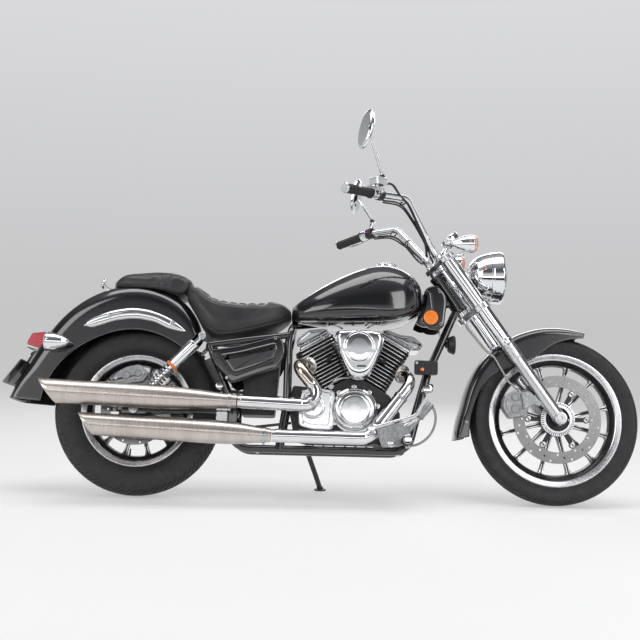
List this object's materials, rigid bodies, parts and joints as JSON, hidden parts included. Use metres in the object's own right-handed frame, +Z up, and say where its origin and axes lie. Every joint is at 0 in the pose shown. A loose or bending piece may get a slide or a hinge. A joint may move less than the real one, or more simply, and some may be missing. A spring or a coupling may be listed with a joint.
{
  "type": "cruiser motorcycle",
  "caption": "Mid-size V-twin cruiser leaning on its side stand, with turning wheels, a steering fork and a folding stand, two slash-cut mufflers and a stepped seat.",
  "frame": {"origin": "middle of the bounding box at floor level", "axes": "+X points forward along the wheelbase, +Y to the rider's left, +Z up; the bike leans 10 degrees to +Y on its side stand"},
  "size_m": [2.325, 0.9445, 1.398],
  "materials": {
    "frame_paint": "satin black",
    "engine_black": "matt black",
    "gloss_paint": "gloss black",
    "wheel_paint": "satin black",
    "chrome": "polished",
    "stainless": "brushed",
    "steel": "machined",
    "alloy": "satin",
    "tyre": "matt",
    "rubber": "matt",
    "seat_leather": "soft satin",
    "black_plastic": "matt",
    "red_lens": "gloss",
    "clear_glass": "clear",
    "plate_grey": "matt"
  },
  "bodies": {
    "frame": {"main_frame": "frame_paint", "swingarm": "frame_paint", "rear_axle": "steel", "shocks": "chrome", "crankcase": "engine_black", "cylinders": "engine_black", "rocker_covers": "chrome", "intake": "black_plastic", "air_cleaner_cover": "chrome", "engine_covers": "alloy", "exhaust_pipes": "chrome", "mufflers": "stainless", "fuel_tank": "gloss_paint", "fuel_cap": "chrome", "rider_seat": "seat_leather", "pillion_seat": "seat_leather", "rear_fender": "gloss_paint", "fender_trims": "chrome", "tail_light": "red_lens", "rear_signals": "chrome", "number_plate": "plate_grey", "side_covers": "gloss_paint", "battery_box": "black_plastic", "neck_covers": "gloss_paint", "regulator_box": "black_plastic", "horn": "black_plastic", "foot_controls": "alloy", "rider_pegs": "rubber", "passenger_pegs": "rubber", "rear_caliper": "alloy", "chain_guard": "black_plastic"},
    "fork": {"fork_clamps": "alloy", "fork_covers": "chrome", "fork_sliders": "alloy", "front_axle": "steel", "front_fender": "gloss_paint", "front_caliper": "alloy", "brake_hose": "rubber", "handlebar": "chrome", "grips": "rubber", "hand_controls": "alloy", "mirrors": "chrome", "headlight_shell": "chrome", "headlight_lens": "clear_glass", "instrument": "chrome", "front_signals": "chrome"},
    "front_wheel": {"front_tyre": "tyre", "front_rim": "wheel_paint", "front_disc": "steel"},
    "rear_wheel": {"rear_tyre": "tyre", "rear_rim": "wheel_paint", "rear_disc": "steel", "drive_sprocket": "steel"},
    "side_stand_arm": {"side_stand": "steel"}
  },
  "joints": [
    {"name": "steering", "type": "hinge", "parent": "frame", "child": "fork", "pos_m": [0.4674, -0.05054, 0.76198], "axis": [-0.5736, 0.1422, 0.8067], "range_deg": [-38, 38]},
    {"name": "front_wheel_spin", "type": "hinge", "parent": "fork", "child": "front_wheel", "pos_m": [0.8525, -0.13091, 0.3062], "axis": [0, 0.9848, -0.1736], "continuous": true},
    {"name": "rear_wheel_spin", "type": "hinge", "parent": "frame", "child": "rear_wheel", "pos_m": [-0.6775, -0.1313, 0.30397], "axis": [0, 0.9848, -0.1736], "continuous": true},
    {"name": "side_stand_fold", "type": "hinge", "parent": "frame", "child": "side_stand_arm", "pos_m": [-0.0575, -0.02585, 0.16489], "axis": [0.1315, 0.8975, 0.4209], "range_deg": [0, 100]}
  ]
}
